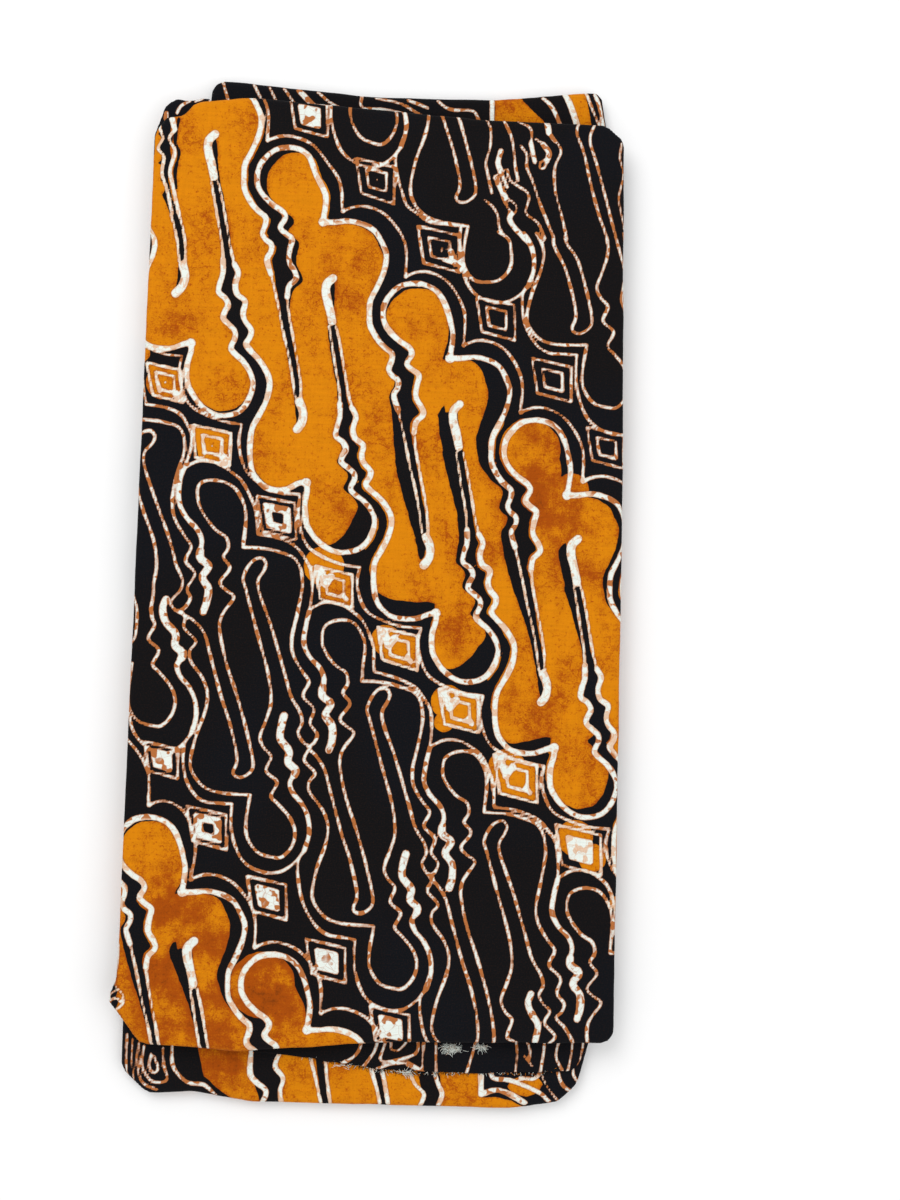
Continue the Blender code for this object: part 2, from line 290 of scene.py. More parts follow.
# The far right corner was drawn by a less steady hand: its lines take the repeat's place inside the region.
farCorner = {
    "region": (478, 60, 640, 232),
    "lines": [
        (3.2, [(487, 119), (491, 131), (490, 148), (486, 162), (488, 175), (492, 193)]),
        (3.2, [(504, 120), (511, 136), (514, 152), (515, 165), (518, 180)]),
        (6.4, [(501, 151), (498, 162), (501, 172)]), (4.2, [(501, 172), (507, 187)]),
        (6.2, [(496, 177), (500, 187), (505, 197)]),
        (2.8, [(505, 197), (514, 203), (517, 209), (513, 215)]),
        (2.8, [(503, 198), (507, 206), (511, 212)]),
        (6.6, [(511, 213), (510, 220), (516, 229), (528, 241)]),
        (3.0, [(507, 169), (511, 181), (526, 191), (529, 199), (526, 213), (538, 223), (545, 239)]),
        (3.2, [(521, 146), (527, 155), (527, 167), (533, 182), (541, 206), (554, 238)]),
        (3.0, [(518, 121), (530, 128), (532, 138), (531, 143)]),
        (5.4, [(531, 143), (533, 153), (535, 162)]), (3.4, [(536, 139), (543, 144)]),
        (5.6, [(543, 144), (549, 153), (547, 161)]),
        (2.8, [(547, 161), (544, 168), (540, 167), (541, 162), (545, 160)]),
        (6.0, [(547, 120), (549, 133)]), (4.4, [(549, 133), (555, 141)]),
        (3.2, [(549, 133), (561, 150), (555, 167), (555, 189), (561, 213), (567, 239)]),
        (3.4, [(580, 120), (577, 133), (584, 153), (591, 185), (599, 215), (605, 232), (607, 243)]),
        (3.4, [(595, 124), (590, 140), (597, 165), (606, 199), (616, 238), (626, 272)]),
        (2.6, [(622, 143), (620, 158), (624, 175), (619, 199), (625, 228)]),
        (3.0, [(485, 200), (493, 207), (498, 216), (499, 226), (502, 232)]),
    ],
}
# So was the far left corner, where a blade narrows to a black channel between two wavy lines.
farLeft = {
    "region": (150, 96, 184, 212),
    "lines": [
        (3.4, [
            (160, 117), (159, 126), (163, 138), (158, 148), (164, 157), (162, 173), (167, 190),
            (172, 214),
        ]),
        (5.2, [(172, 118), (175, 130)]),
        (3.8, [(175, 130), (169, 139), (175, 151), (170, 170), (172, 182), (176, 200), (179, 214)]),
    ],
    "channel": [
        (6.5, [(166, 110), (168, 125), (166, 140), (168, 158), (166, 175)]),
        (4.0, [(166, 175), (169, 195), (174, 214)]),
        (3.6, [(179, 118), (175, 140), (179, 153), (175, 172), (176, 188)]),
    ],
    "stains": [(154, 128, 7), (154, 141, 8), (153, 156, 9), (155, 172, 9), (156, 188, 9)],
}
# The little dog-ear at the near left: black, with three pen marks. Bare spots take no amber.
dogEar = {
    "lines": [
        (2.2, [
            (118, 944), (117, 962), (115, 976), (115, 986), (121, 992), (124, 999), (121, 1006),
            (115, 1011), (118, 1020), (123, 1028),
        ]),
        (2.2, [(108, 1002), (115, 998), (121, 1002)]), (1.9, [(109, 994), (115, 991)]),
    ],
    "bare": [(110, 952, 6), (109, 966, 6), (108, 980, 7), (109, 992, 8), (110, 1002, 8), (110, 1010, 5)],
}
# The top of a thick line whose band lies past the near edge.
nearStub = {"lines": [(6.8, [(531, 994), (528, 1004), (533, 1016), (538, 1026), (535, 1042)])]}

# Where the hand left the repeat's line: place, shift to the right and down, and reach, in chart pixels.
penSlips = [
    (205, 488, -7, -7, 20), (148, 430, 7, 5, 22), (155, 550, 4, 0, 28), (143, 604, 9, 0, 13),
    (172, 608, -6, 0, 10), (190, 604, -9, 0, 12), (482, 1041, 0, 18, 14), (303, 486, -3, -5, 14),
    (372, 668, -2, -4, 14), (318, 170, -4, 4, 12), (500, 292, 0, -4, 13), (568, 242, -8, 0, 9),
    (170, 222, 7, 0, 22), (179, 262, 7, 0, 22), (502, 239, 6, -2, 9), (402, 208, -4, 4, 7),
]
# Where the amber wax cover missed its lines, in the same way.
coverSlips = [
    (285, 180, 13, 8, 36), (300, 270, 8, 3, 30), (345, 330, -3, 0, 50), (372, 245, -3, 3, 30),
    (412, 318, 10, 10, 28), (440, 330, -4, 0, 22), (505, 385, -19, 2, 38), (402, 492, -9, 2, 46),
    (450, 445, -9, 0, 50), (540, 455, -11, -4, 30), (600, 530, -11, 4, 40), (505, 560, -10, 0, 36),
    (560, 600, -6, 0, 40), (222, 395, -2, -6, 32), (366, 537, -13, -18, 25), (268, 480, 3, -2, 26),
    (404, 606, 0, -21, 25), (483, 668, -17, -19, 27), (532, 742, 0, -14, 18), (592, 782, -12, -18, 30),
    (155, 850, 8, 8, 30), (222, 930, -16, 0, 40), (165, 945, -9, 0, 40), (284, 985, -17, 2, 22),
    (250, 960, 0, 6, 16),
]
# Amber stains outside the blades: place and radius.
stains = [
    (162, 383, 16), (213, 446, 14), (324, 566, 20), (340, 590, 9), (386, 640, 15), (448, 702, 17),
    (444, 722, 10), (507, 768, 19), (575, 838, 18), (592, 858, 14), (530, 450, 31), (572, 490, 17),
    (262, 985, 32), (140, 352, 10), (616, 903, 6),
]
# Where the dye lies darker: place, reach and how much.
rustClouds = [
    (538, 505, 34, 0.8), (530, 450, 26, 0.5), (400, 420, 22, 0.3), (352, 275, 26, 0.45),
    (290, 150, 20, 0.2), (172, 900, 22, 0.9), (180, 960, 50, 0.5), (268, 985, 34, 1.15),
    (165, 1020, 45, 0.5), (445, 640, 25, 0.35), (520, 700, 30, 0.3), (335, 520, 22, 0.35),
    (570, 760, 30, 0.4), (180, 320, 22, 0.3), (420, 330, 18, 0.35), (585, 560, 30, 0.3),
]

# The lower leaf's strips that look out past the top panel, and the raw end's, charted the same way.
endStrips = {
    "height": 8.4 * mm,
    "lines": [
        (3.6, [(222, 78), (228, 100)]), (3.8, [(254, 84), (263, 103)]), (3.2, [(269, 86), (278, 105)]),
        (3.2, [(284, 88), (296, 106)]), (6.2, [(299, 90), (306, 98), (316, 108)]),
        (3.6, [(318, 92), (328, 101), (341, 109)]),
        (3.4, [(362, 95), (362, 107), (380, 109), (402, 113)]),
        (3.4, [(376, 98), (399, 103), (412, 110), (424, 117)]), (3.6, [(408, 100), (428, 108)]),
        (3.8, [(438, 101), (445, 107), (454, 110), (473, 111), (479, 121)]),
        (5.2, [(492, 100), (492, 124)]), (4.6, [(543, 98), (552, 107), (560, 124)]),
        (6.4, [(565, 94), (571, 107), (577, 125)]), (3.4, [(586, 92), (592, 108), (600, 128)]),
        (4.6, [(595, 94), (600, 108), (604, 128)]), (2.8, [(127, 1034), (126, 1060), (127, 1080)]),
        (2.4, [(133, 1038), (132, 1062), (134, 1086)]),
        (3.0, [(139, 1042), (137, 1062), (142, 1082), (157, 1090)]),
        (3.2, [(144, 1046), (142, 1066), (152, 1081), (167, 1080), (164, 1066), (163, 1048)]),
        (3.0, [(151, 1054), (149, 1066), (154, 1073), (158, 1068), (154, 1056)]),
        (3.8, [(172, 1042), (173, 1066), (187, 1082), (204, 1085), (216, 1096)]),
        (5.6, [(252, 1044), (250, 1072), (256, 1082), (266, 1091), (262, 1104)]),
        (4.6, [(281, 1050), (275, 1066), (283, 1078), (280, 1090), (281, 1104)]),
        (3.6, [(310, 1056), (316, 1080), (321, 1104)]), (3.8, [(325, 1056), (327, 1080), (330, 1104)]),
        (3.8, [(370, 1066), (376, 1086), (380, 1104)]), (4.4, [(381, 1066), (385, 1086), (388, 1104)]),
        (4.2, [(408, 1068), (415, 1084), (424, 1094), (420, 1106)]),
        (4.2, [(433, 1068), (438, 1084), (442, 1094), (438, 1106)]), (5.8, [(481, 1064), (481, 1094)]),
        (5.6, [(481, 1094), (497, 1090), (511, 1095), (525, 1103)]),
        (4.6, [(490, 1066), (493, 1078), (509, 1080), (525, 1086), (540, 1093), (549, 1102)]),
        (4.0, [(540, 1074), (533, 1079), (520, 1078)]), (2.6, [(542, 1076), (548, 1088), (558, 1101)]),
        (3.6, [(556, 1066), (562, 1084), (574, 1094)]), (3.2, [(572, 1060), (574, 1076), (581, 1084)]),
    ],
    "covers": [
        [(495, 84), (517, 84), (523, 101), (548, 126), (495, 126)],
        [(556, 84), (584, 84), (592, 128), (579, 128), (571, 107)],
        [
            (196, 1030), (198, 1050), (204, 1076), (221, 1091), (242, 1110), (262, 1110), (254, 1082),
            (249, 1072), (250, 1030),
        ],
        [(281, 1030), (276, 1066), (283, 1078), (280, 1110), (322, 1110), (312, 1030)],
        [(325, 1030), (330, 1110), (380, 1110), (368, 1030)],
        [(382, 1030), (388, 1110), (420, 1110), (423, 1094), (406, 1030)],
        [
            (434, 1030), (442, 1094), (440, 1112), (530, 1112), (512, 1101), (496, 1097), (482, 1097),
            (480, 1030),
        ],
        [
            (507, 1087), (511, 1080), (522, 1076), (537, 1077), (543, 1084), (538, 1092), (527, 1097),
            (514, 1094),
        ],
    ],
}
rawStrip = {
    "height": 9.5 * mm,
    "lines": [
        (3.4, [(378, 1040), (374, 1052), (363, 1067)]),
        (3.8, [(362, 1040), (358, 1052), (349, 1060), (342, 1063)]), (3.2, [(387, 1038), (380, 1058)]),
        (3.4, [(380, 1058), (386, 1062), (415, 1054), (418, 1038)]), (3.0, [(391, 1038), (391, 1049)]),
        (2.8, [(391, 1049), (397, 1051), (405, 1044), (407, 1038)]),
        (3.2, [(377, 1069), (391, 1064), (404, 1063)]), (5.4, [(408, 1064), (416, 1068), (422, 1073)]),
        (2.8, [(424, 1040), (422, 1074)]), (2.8, [(436, 1038), (436, 1074)]),
        (3.0, [(476, 1040), (473, 1052), (466, 1074)]), (3.0, [(516, 1038), (517, 1056), (515, 1076)]),
        (3.0, [(525, 1038), (530, 1050), (529, 1062)]), (2.6, [(524, 1056), (532, 1066)]),
        (3.2, [(545, 1038), (543, 1056), (540, 1074)]), (3.0, [(560, 1038), (556, 1056), (562, 1070)]),
        (2.8, [(573, 1038), (571, 1056), (567, 1074)]), (2.6, [(584, 1038), (581, 1056), (576, 1074)]),
    ],
    "covers": [],
}
# The black ears of the layer under the top panel, at the far left corner.
earStrip = {
    "height": 15.2 * mm,
    "lines": [
        (4.6, [(166, 113), (166, 119)]), (3.6, [(177, 113), (181, 106), (190, 100)]),
        (3.2, [(195, 101), (203, 98)]), (2.6, [(209, 101), (215, 96)]),
        (3.0, [(150, 190), (152, 176), (157, 160)]),
    ],
    "covers": [],
}
# Darker dye on the strips: place, reach and how much.
stripRust = [(215, 1075, 26, 1.1), (505, 105, 12, 0.4), (340, 1085, 20, 0.3)]


def smoothCurve(points, samples=5):
    # A Catmull-Rom curve: each span is a cubic through its ends, heading along its neighbours' chord.
    p = np.asarray(points, float)
    p = np.vstack([2 * p[0] - p[1], p, 2 * p[-1] - p[-2]])
    a, b, c, d = (part[:, None, :] for part in (p[:-3], p[1:-2], p[2:-1], p[3:]))
    t = np.linspace(0, 1, samples, endpoint=False)[None, :, None]
    bend = (2 * a - 5 * b + 4 * c - d) * t ** 2 + (3 * b - a - 3 * c + d) * t ** 3
    curve = 0.5 * (2 * b + (c - a) * t + bend)
    return np.vstack([curve.reshape(-1, 2), p[-2]])


def smoothLines(rows):
    return [(smoothCurve(points), width) for width, points in rows]


def dots(places, width):
    # A dot is a line whose two ends are the same point.
    return [(np.array([place, place], float), width) for place in places]


def drawBetween(curve, chartFrom, chartTo, placeFrom, placeTo):
    # The curve moves with its first corner at one end and with its last corner at the other.
    corners = (chartFrom, chartTo, placeFrom, placeTo)
    chartFrom, chartTo, placeFrom, placeTo = (np.array(corner, float) for corner in corners)
    chord = chartTo - chartFrom
    share = np.clip((curve - chartFrom) @ chord / (chord @ chord), 0, 1)[:, None]
    return curve + (placeFrom - chartFrom) * (1 - share) + (placeTo - chartTo) * share


def alongAnchors(charts, anchors, width):
    # The charts follow one another from anchor to anchor.
    lines = []
    for number, (start, end) in enumerate(zip(anchors, anchors[1:])):
        chart = charts[number % len(charts)]
        lines.append((drawBetween(smoothCurve(chart), chart[0], chart[-1], start, end), width))
    return lines


def darkBandLines(band):
    # Heads and feet from corner to corner, then the outer lines, with a tongue at every second corner.
    tops, bottoms = band["tops"], band["bottoms"]
    lines = []
    for chart, pairs in ((darkHead, zip(tops[1:], tops)), (darkFoot, zip(bottoms, bottoms[1:]))):
        curve = smoothCurve(chart["line"])
        lines += [(drawBetween(curve, chart["from"], chart["to"], *pair), chart["width"]) for pair in pairs]
    for side, anchors in (("over", band["archOver"]), ("under", band["archUnder"])):
        lines += alongAnchors(darkArches[side], anchors, darkArches["width"])
        tongue = smoothCurve(darkTongue[side]) - darkTongue[side][0]
        half = len(tongue) // 2
        for place in anchors[::2]:
            for part, width in zip((tongue[:half + 1], tongue[half:]), darkTongue["widths"]):
                lines.append((part + place, width))
    return lines


def amberBandLines(band):
    # The blades' lines, the closed edge that the amber cover fills, and the slits that it leaves black.
    tops, bottoms = band["tops"], band["bottoms"]
    lines, edge, slits = [], [], []
    upward = list(zip(tops[1:], tops))[::-1]
    for chart, pairs in ((amberHead, upward), (amberFoot, zip(bottoms, bottoms[1:]))):
        for pair in pairs:
            for width, points in chart["parts"]:
                curve = drawBetween(smoothCurve(points), chart["from"], chart["to"], *pair)
                lines.append((curve, width))
                edge.append(curve)
            slit = drawBetween(smoothCurve(chart["slit"]), chart["from"], chart["to"], *pair)
            slits.append((slit, amberWidths["slit"]))
    lines += dots(tops + bottoms, amberWidths["dot"]) + dots(band["archOver"], amberArches["dot"])
    for side, anchors in (("over", band["archOver"]), ("under", band["archUnder"])):
        lines += alongAnchors([amberArches[side]], anchors, amberArches["width"])
    return lines, np.vstack(edge), slits


def diamondLines():
    lines = []
    corners = np.array(diamondShape["corners"], float)
    closed = np.vstack([corners, corners[:1]])
    for x, y, kind, size in diamonds:
        rings = [(1.0, diamondShape["width"])] + diamondFillings[kind]["rings"]
        lines += [(closed * size * share + (x, y), width) for share, width in rings]
        strokes = diamondFillings[kind]["strokes"]
        lines += [(np.array(points, float) * size + (x, y), width) for width, points in strokes]
    return lines


def slipped(points, slips):
    # A line or an edge moves by the slips near it, each fading over its own reach.
    moved = points.copy()
    for x, y, right, down, reach in slips:
        near = np.exp(-((points - (x, y)) ** 2).sum(1) / (2 * reach ** 2))
        moved += near[:, None] * (right, down)
    return moved


def outsideRegion(lines, region):
    # The stretches of each line that lie outside a region of the chart.
    left, top, right, bottom = region
    kept = []
    for curve, width in lines:
        inside = (curve[:, 0] > left) & (curve[:, 0] < right) & (curve[:, 1] > top) & (curve[:, 1] < bottom)
        for run in np.split(np.arange(len(curve)), np.nonzero(np.diff(inside))[0] + 1):
            if len(run) > 1 and not inside[run[0]]:
                kept.append((curve[run], width))
    return kept


def toCloth(charted, height=topLevel):
    # Charted lines, edges and spots on the cloth, in metres.
    def placed(points):
        return chartToCloth(points, height)

    def strokes(rows):
        return [(placed(curve), width * pixelSize / 2) for curve, width in rows]

    def spots(rows):
        return [(placed([(x, y)])[0], radius * pixelSize) for x, y, radius in rows]

    return {
        "lines": strokes(charted["lines"]),
        "covers": [tuple(placed(edge) for edge in pair) for pair in charted["covers"]],
        "slits": strokes(charted["slits"]),
        "stains": spots(charted["stains"]),
        "bare": spots(charted["bare"]),
        "rust": [(placed([(x, y)])[0], reach * pixelSize, share) for x, y, reach, share in charted["rust"]],
    }


def sweptSlits(slits):
    # Where the cover slipped, a slit is as wide as the slip: copies of it reach to the cover's place.
    copies = np.linspace(0, 1, 5)
    swept = []
    for curve, width in slits:
        here = slipped(curve, penSlips)
        there = slipped(here, coverSlips)
        swept += [(here + share * (there - here), width) for share in copies]
    return swept


def mainPattern():
    # The bands' repeats with their slips, the diamonds, and the stretches that are drawn apart.
    lines, covers, slits = diamondLines(), [], []
    corners = np.array(diamondShape["corners"], float) * diamondShape["amberShare"]
    for x, y, kind, size in diamonds:
        if kind in diamondShape["amberKinds"]:
            edge = corners * size + (x, y)
            covers.append((edge, edge))
    for band in bands:
        if band["kind"] == "dark":
            lines += outsideRegion(darkBandLines(band), farCorner["region"])
        else:
            bandLines, edge, bandSlits = amberBandLines(band)
            lines += outsideRegion(bandLines, farLeft["region"])
            slits += sweptSlits(outsideRegion(bandSlits, farLeft["region"]))
            edge = slipped(edge, penSlips)
            covers.append((slipped(edge, coverSlips), edge))
    lines = [(slipped(curve, penSlips), width) for curve, width in lines]
    for apart in (farCorner, farLeft, dogEar, nearStub):
        lines += smoothLines(apart["lines"])
    return toCloth({
        "lines": lines,
        "covers": covers,
        "slits": slits + smoothLines(farLeft["channel"]),
        "stains": stains + farLeft["stains"],
        "bare": dogEar["bare"],
        "rust": rustClouds,
    })


def stripPattern(strip):
    edges = [np.array(points, float) for points in strip["covers"]]
    return toCloth({
        "lines": smoothLines(strip["lines"]),
        "covers": [(edge, edge) for edge in edges],
        "slits": [],
        "stains": [],
        "bare": [],
        "rust": stripRust,
    }, strip["height"])


# How far from its curves a field is worked out, how many segments go in at a time, and how far outside
# its own lines the amber cover may slip.
fieldSettings = {"far": 6 * mm, "segments": 8, "slipLimit": 2.4 * mm}


def gridOver(low, high, step):
    # A grid of points from one corner to the other, and what the fields need to know of it.
    columns, rows = (int(count) for count in np.ceil((high - low) / step) + 1)
    x, y = np.meshgrid(low[0] + step * np.arange(columns), low[1] + step * np.arange(rows))
    return x, y, {"x0": low[0], "y0": low[1], "step": step}


def touching(cells):
    # Quads with at least one corner among the marked cells.
    keep = np.zeros_like(cells)
    keep[:-1, :-1] = cells[:-1, :-1] | cells[1:, :-1] | cells[:-1, 1:] | cells[1:, 1:]
    return keep


def stampCurve(field, grid, curve, half):
    # Lowers the field to the distance from the curve less its half width, a few segments at a time.
    x0, y0, step = grid["x0"], grid["y0"], grid["step"]
    rows, columns = field.shape
    reach = half + fieldSettings["far"]
    segments = fieldSettings["segments"]
    for first in range(0, len(curve) - 1, segments):
        run = curve[first:first + segments + 1]
        left, low = (run.min(0) - reach - (x0, y0)) / step
        right, high = (run.max(0) + reach - (x0, y0)) / step
        left, low = max(0, int(left)), max(0, int(low))
        right, high = min(columns, int(right) + 2), min(rows, int(high) + 2)
        if left >= right or low >= high:
            continue
        px = x0 + step * np.arange(left, right)[None, None, :]
        py = y0 + step * np.arange(low, high)[None, :, None]
        ax, ay = run[:-1, 0][:, None, None], run[:-1, 1][:, None, None]
        bx, by = run[1:, 0][:, None, None] - ax, run[1:, 1][:, None, None] - ay
        length = np.maximum(bx ** 2 + by ** 2, 1e-12)
        along = np.clip(((px - ax) * bx + (py - ay) * by) / length, 0, 1)
        gap = np.sqrt((px - ax - along * bx) ** 2 + (py - ay - along * by) ** 2).min(0) - half
        part = field[low:high, left:right]
        np.minimum(part, gap, out=part)


def insideOutline(shape, grid, outline):
    # Counts the outline's crossings to the left of each grid point: an odd count is inside.
    rows, columns = shape
    turns = np.zeros((rows, columns + 1), int)
    start, end = outline, np.roll(outline, -1, axis=0)
    for (ax, ay), (bx, by) in zip(start, end):
        if ay == by:
            continue
        low, high = sorted((ay, by))
        first = max(0, math.ceil((low - grid["y0"]) / grid["step"]))
        last = min(rows - 1, math.ceil((high - grid["y0"]) / grid["step"]) - 1)
        if last < first:
            continue
        row = np.arange(first, last + 1)
        x = ax + (bx - ax) * (grid["y0"] + row * grid["step"] - ay) / (by - ay)
        column = np.clip(np.ceil((x - grid["x0"]) / grid["step"]).astype(int), 0, columns)
        np.add.at(turns, (row, column), 1)
    return turns.cumsum(1)[:, :columns] % 2 == 1


def signedCover(shape, grid, outline):
    # Distance to the outline, above zero inside it.
    field = np.full(shape, fieldSettings["far"])
    closed = np.vstack([outline, outline[:1]])
    stampCurve(field, grid, closed, 0.0)
    return np.where(insideOutline(shape, grid, outline), field, -field)


def patternFields(pattern, shape, grid):
    # Wax: distance outside the nearest line. Dye: distance inside an amber cover. Rust: sum of soft clouds.
    far = fieldSettings["far"]
    wax, slit, dye = np.full(shape, far), np.full(shape, far), np.full(shape, -far)
    for curve, half in pattern["lines"]:
        stampCurve(wax, grid, curve, half)
    for slippedEdge, edge in pattern["covers"]:
        limit = signedCover(shape, grid, edge) + fieldSettings["slipLimit"]
        dye = np.maximum(dye, np.minimum(signedCover(shape, grid, slippedEdge), limit))
    x = grid["x0"] + grid["step"] * np.arange(shape[1])[None, :]
    y = grid["y0"] + grid["step"] * np.arange(shape[0])[:, None]
    for (cx, cy), radius in pattern["stains"]:
        dye = np.maximum(dye, radius - np.hypot(x - cx, y - cy))
    for (cx, cy), radius in pattern["bare"]:
        dye = np.minimum(dye, np.hypot(x - cx, y - cy) - radius)
    for curve, half in pattern["slits"]:
        stampCurve(slit, grid, curve, half)
    rust = np.zeros(shape)
    for (cx, cy), reach, share in pattern["rust"]:
        rust += share * np.exp(-((x - cx) ** 2 + (y - cy) ** 2) / (2 * reach ** 2))
    return {"wax": wax / mm, "dye": np.minimum(dye, slit) / mm, "rust": rust}


# Outlines seen from above. Each corner is a share of the half panel across and along, then how far to the
# right of and beyond that place it lies and the radius of its bend, the last three in millimetres.
panel = {"width": 270 * mm, "length": 525 * mm}
outlines = {
    "topPanel": [
        (-1.0, 1.0, 2.0, -12.6, 8), (-1.0, 1.0, 8, -3, 5), (-1.0, 1.0, 18, -2.4, 4),
        (-1.0, 1.0, 24, 6, 8), (-0.6, 1.0, 0, 10.5, 60), (0.4, 1.0, 0, 3.5, 60),
        (1.0, 1.0, -11.5, 3.5, 5), (1.0, 1.0, -1.5, -5.5, 6), (1.0, 0.2, 2, 8, 300),
        (1.0, -1.0, 3, 11.5, 8), (0.1, -1.0, 0, 10, 90), (-0.5, -1.0, 0, 3.5, 40),
        (-0.9, -1.0, 0.5, 7, 8), (-1.0, -0.9, -3.6, 3.8, 4), (-1.0, -0.85, 0.7, 2.1, 6),
    ],
    "secondFold": [
        (-1.0, 1.0, 1.2, -12, 8), (-1.0, 1.0, 7, 4.8, 5), (-1.0, 1.0, 13, 9.2, 4),
        (-1.0, 1.0, 20, 7.6, 6), (-1.0, 1.0, 30, 11, 5), (-1.0, 1.0, 40, 4, 10), (0.4, 1.0, 6, 1.5, 60),
        (1.0, 1.0, -2, -1.5, 10), (1.0, -1.0, 0.5, 14.5, 9), (-0.4, -1.0, -6, 10, 60),
        (-1.0, -1.0, 4, 15.5, 10),
    ],
    "thirdFold": [
        (-1.0, 1.0, 3.5, -12, 8), (-1.0, 1.0, 10, 4, 6), (-0.8, 1.0, 0, 5.5, 20), (1.0, 1.0, -3, -3.5, 9),
        (1.0, -1.0, -1, 16.5, 10), (-1.0, -1.0, 6, 18.5, 12),
    ],
    "lowerFold": [
        (-1.0, 0.75, 3.5, -1, 30), (-0.75, 1.0, -2.7, 5.5, 10), (-0.75, 1.0, -1.2, 24, 8),
        (-0.1, 1.0, 3.5, 18, 90), (0.45, 1.0, 0, 19.5, 60), (0.9, 1.0, -0.5, 27.2, 6),
        (0.95, 1.0, -2.2, -0.5, 12), (0.95, -1.0, -1.7, 12.5, 15), (0.9, -1.0, -2, -13.5, 12),
        (0.8, -1.0, 1, -23, 8), (0.6, -1.0, 3, -26.7, 20), (-0.45, -1.0, 0.8, -25.5, 60),
        (-0.7, -1.0, 2.5, -20.5, 14), (-0.85, -1.0, -2.2, -22, 10), (-0.95, -1.0, -3.2, -8.5, 9),
    ],
    "underPanel": [
        (-0.95, 0.7, -1.7, 6.2, 30), (-0.75, 1.0, -0.7, -0.5, 12), (-0.75, 1.0, 1.2, 20.5, 6),
        (0.1, 1.0, -3.5, 16, 90), (0.9, 1.0, -2.5, 22.5, 8), (0.9, 1.0, 2.5, -4.5, 12),
        (0.9, -1.0, 3, 10.5, 18), (0.8, -1.0, -2, -20.5, 14), (0.6, -1.0, 3, -24, 20),
        (-0.45, -1.0, -1.2, -23, 60), (-0.85, -1.0, 0.8, -18.5, 12), (-0.95, -1.0, -0.7, -5.5, 12),
    ],
    "rawEnd": [
        (0.9, -0.85, 2.5, 1, 3), (0.9, -1.0, 2.5, 5.5, 3), (0.85, -1.0, 2.7, -5.5, 5),
        (0.45, -1.0, -0.8, -7.5, 60), (0.1, -1.0, -1.5, -6.5, 50), (-0.25, -1.0, -2.2, 0, 40),
        (-0.45, -1.0, -1.2, 2, 3), (-0.45, -0.85, 2.8, 1, 3),
    ],
}


def roundedOutline(rows, steps=8, sideShare=0.45):
    # Each corner becomes an arc that meets its two sides square on, cut short where a side is short.
    table = np.array(rows, float)
    corners = table[:, :2] * (panel["width"] / 2, panel["length"] / 2) + table[:, 2:4] * mm
    back = np.roll(corners, 1, axis=0) - corners
    ahead = np.roll(corners, -1, axis=0) - corners
    backLength, aheadLength = np.linalg.norm(back, axis=1), np.linalg.norm(ahead, axis=1)
    back, ahead = back / backLength[:, None], ahead / aheadLength[:, None]
    half = np.arccos(np.clip((back * ahead).sum(1), -1, 1)) / 2
    cut = np.minimum(table[:, 4] * mm / np.tan(half), sideShare * np.minimum(backLength, aheadLength))
    radius = cut * np.tan(half)
    middle = back + ahead
    middle /= np.linalg.norm(middle, axis=1)[:, None]
    centre = corners + middle * (radius / np.sin(half))[:, None]
    start = corners + back * cut[:, None] - centre
    side = np.sign(start[:, 1] * back[:, 0] - start[:, 0] * back[:, 1])
    angle = (side * (math.pi - 2 * half))[:, None] * np.linspace(0, 1, steps + 1)[None, :]
    x = start[:, :1] * np.cos(angle) - start[:, 1:] * np.sin(angle)
    y = start[:, :1] * np.sin(angle) + start[:, 1:] * np.cos(angle)
    return (np.stack([x, y], 2) + centre[:, None, :]).reshape(-1, 2)


ripples = {"spacing": 4.5 * mm, "size": 26 * mm}


def rippled(outline, amount, seed, size=ripples["size"]):
    # The outline at close even steps, each point moved square to the outline by a few slow sine waves.
    closed = np.vstack([outline, outline[:1]])
    length = np.concatenate([[0], np.cumsum(np.linalg.norm(np.diff(closed, axis=0), axis=1))])
    along = np.linspace(0, length[-1], int(length[-1] / ripples["spacing"]), endpoint=False)
    points = np.stack([np.interp(along, length, closed[:, axis]) for axis in (0, 1)], 1)
    push = amount * mm * waves(points[:, 0], points[:, 1], seed, size)
    return points + outlineNormals(points) * push[:, None]


def outlineNormals(outline):
    # Square to the line through each point's two neighbours.
    heading = np.roll(outline, -1, axis=0) - np.roll(outline, 1, axis=0)
    normal = np.stack([-heading[:, 1], heading[:, 0]], 1)
    return normal / np.linalg.norm(normal, axis=1)[:, None]


def insetOutline(outline, distance):
    return outline - outlineNormals(outline) * distance


def nearestOnOutline(points, outline, block=6000):
    # For each point, the nearest point of the closed outline, in blocks that keep memory small.
    start = outline[None, :, :]
    edge = np.roll(outline, -1, axis=0)[None, :, :] - start
    length = np.maximum((edge ** 2).sum(2), 1e-14)
    nearest = np.empty_like(points)
    for first in range(0, len(points), block):
        part = points[first:first + block, None, :]
        along = np.clip(((part - start) * edge).sum(2) / length, 0, 1)
        foot = start + edge * along[:, :, None]
        best = ((part - foot) ** 2).sum(2).argmin(1)
        nearest[first:first + block] = foot[np.arange(len(part)), best]
    return nearest


def foldProfile(reach, halfHeight, turn, steps=60):
    # Half an ellipse from the fold's flat side round its edge, as reach and drop by length of cloth.
    angle = np.linspace(0, math.radians(turn), steps)
    out, drop = reach * np.sin(angle), halfHeight * (1 - np.cos(angle))
    length = np.concatenate([[0], np.cumsum(np.hypot(np.diff(out), np.diff(drop)))])
    return length, out, drop


def waves(x, y, seed, size, count=7, sizeShares=(0.6, 1.7)):
    # A gentle unevenness: a sum of a few slow sine waves in seeded directions.
    random = np.random.default_rng(seed)
    total = np.zeros_like(x)
    for _ in range(count):
        angle, phase = random.uniform(0, math.tau), random.uniform(0, math.tau)
        length = size * random.uniform(*sizeShares)
        total += np.sin((x * math.cos(angle) + y * math.sin(angle)) * math.tau / length + phase)
    return total / count


